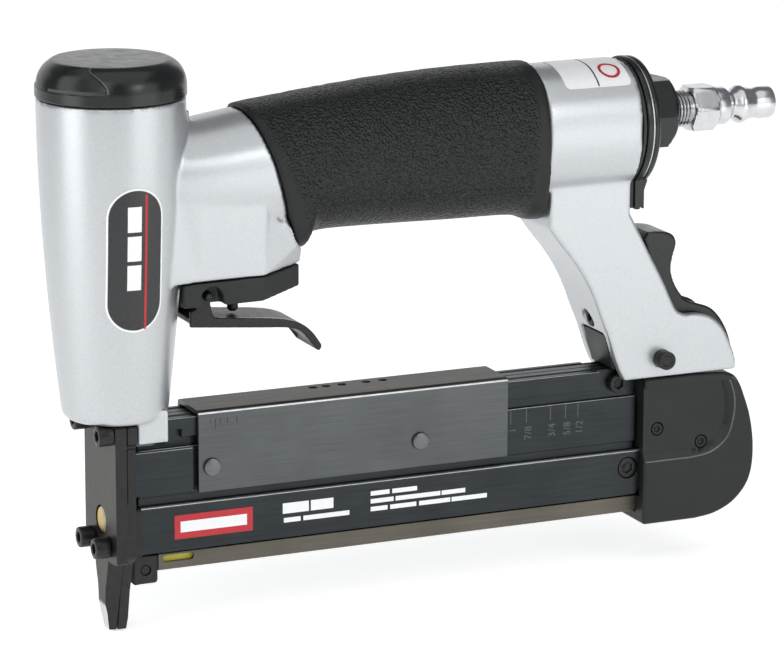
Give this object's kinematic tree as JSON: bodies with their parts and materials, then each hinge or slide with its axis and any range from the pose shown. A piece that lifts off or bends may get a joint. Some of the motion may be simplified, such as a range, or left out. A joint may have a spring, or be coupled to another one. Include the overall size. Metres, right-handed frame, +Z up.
{
  "type": "pneumatic pin nailer",
  "caption": "Air-powered pin nailer: upright tapered barrel, rubber-gripped handle with air plug, rear leg with latch, pull-out pin magazine below, and a finger trigger.",
  "frame": {"origin": "the nose tip, on the driver blade's axis, where the tool touches the work; the mount beside it is 1.1 mm behind the axis because the blade's slot is open there", "axes": "+X from the barrel along the handle to the air plug, +Z up the barrel away from the work, -Y is the user's left-hand side of the tool"},
  "size_m": [0.2148, 0.0396, 0.154],
  "materials": {
    "silver_paint": "light alloy casting with fine silver metallic paint, satin",
    "black_plastic": "black moulded plastic, semi-gloss",
    "grip_rubber": "black pebble-grained soft rubber",
    "black_steel": "black oxide or black anodised, satin",
    "black_anodised": "extrusion, anodised black, satin",
    "grey_steel": "dark grey phosphated sheet steel, brushed along its length",
    "tray_steel": "dark oiled steel with a brown tint",
    "bright_steel": "bright nickel plate",
    "spring_steel": "plain spring wire",
    "brass": "plain brass",
    "yellow_paint": "yellow marker plastic",
    "seal_rubber": "plain black seal rubber",
    "aluminium": "machined"
  },
  "bodies": {
    "tool_body": {"housing": "silver_paint", "top_cap": "black_plastic", "cap_gasket": "seal_rubber", "cylinder": "aluminium", "cylinder_seal": "seal_rubber", "bumper": "seal_rubber", "head_valve_spring": "spring_steel", "grip_sleeve": "grip_rubber", "handle_gasket": "seal_rubber", "handle_cap": "black_plastic", "air_plug": "bright_steel", "trigger_bracket": "black_plastic", "trigger_pin": "black_steel", "trigger_valve_body": "aluminium", "trigger_valve_spring": "spring_steel", "nose_plate": "black_steel", "brass_plug": "brass", "driver_guide": "black_steel", "nose_screw_upper_left": "black_steel", "nose_screw_upper_right": "black_steel", "nose_screw_lower_left": "black_steel", "nose_screw_lower_right": "black_steel", "foot_block": "black_steel", "magazine_side_left": "black_anodised", "magazine_side_right": "black_anodised", "front_panel_left": "black_anodised", "front_panel_right": "black_anodised", "rear_screw_upper": "black_steel", "rear_screw_lower_left": "black_steel", "rear_screw_lower_right": "black_steel", "magazine_hanger": "black_anodised", "leg_screw": "black_steel", "detent_ball": "bright_steel", "detent_spring": "spring_steel", "latch_pin": "black_steel", "latch_spring": "spring_steel"},
    "driver": {"piston": "aluminium", "piston_ring": "seal_rubber", "driver_blade": "bright_steel"},
    "head_valve": {"head_valve": "aluminium"},
    "trigger": {"trigger_lever": "black_steel"},
    "valve_stem": {"trigger_valve_stem": "bright_steel"},
    "latch": {"latch_lever": "black_plastic"},
    "magazine_slide": {"pin_tray": "tray_steel", "spring_anchor": "black_steel", "end_cap": "black_plastic", "end_cap_screw_front": "black_steel", "end_cap_screw_rear": "black_steel", "pusher_spring": "spring_steel"},
    "pusher": {"pusher": "bright_steel", "load_indicator": "yellow_paint"},
    "selector": {"selector_cover": "grey_steel", "cover_rivet_front_left": "grey_steel", "cover_rivet_front_right": "grey_steel", "cover_rivet_rear_left": "grey_steel", "cover_rivet_rear_right": "grey_steel"}
  },
  "joints": [
    {"name": "driver_stroke", "type": "slide", "parent": "tool_body", "child": "driver", "axis": [0, 0, -1], "range_m": [0, 0.0485]},
    {"name": "head_valve_lift", "type": "slide", "parent": "tool_body", "child": "head_valve", "axis": [0, 0, 1], "range_m": [0, 0.003], "stiffness_N_per_m": 800, "springref_m": -0.004, "deforming": ["head_valve_spring"]},
    {"name": "trigger_pull", "type": "hinge", "parent": "tool_body", "child": "trigger", "pos_m": [0.0225, 0, 0.091], "axis": [0, -1, 0], "range_deg": [0, 10], "stiffness_Nm_per_rad": 0.6, "springref_deg": -8.59},
    {"name": "valve_stem_lift", "type": "slide", "parent": "tool_body", "child": "valve_stem", "axis": [0, 0, 1], "range_m": [0, 0.0022], "deforming": ["trigger_valve_spring"]},
    {"name": "latch_release", "type": "hinge", "parent": "tool_body", "child": "latch", "pos_m": [0.1572, 0, 0.0607], "axis": [0, -1, 0], "range_deg": [0, 8], "stiffness_Nm_per_rad": 0.8, "springref_deg": -17.19, "deforming": ["latch_spring"]},
    {"name": "magazine_open", "type": "slide", "parent": "tool_body", "child": "magazine_slide", "axis": [1, 0, 0], "range_m": [0, 0.105]},
    {"name": "pusher_travel", "type": "slide", "parent": "magazine_slide", "child": "pusher", "axis": [1, 0, 0], "range_m": [0, 0.08], "stiffness_N_per_m": 20, "springref_m": -0.1, "deforming": ["pusher_spring"]},
    {"name": "selector_shift", "type": "slide", "parent": "tool_body", "child": "selector", "axis": [1, 0, 0], "range_m": [0, 0.0206]}
  ],
  "couplings": [
    {"joint": "valve_stem_lift", "follows": "trigger_pull", "m_per_rad": 0.011}
  ]
}
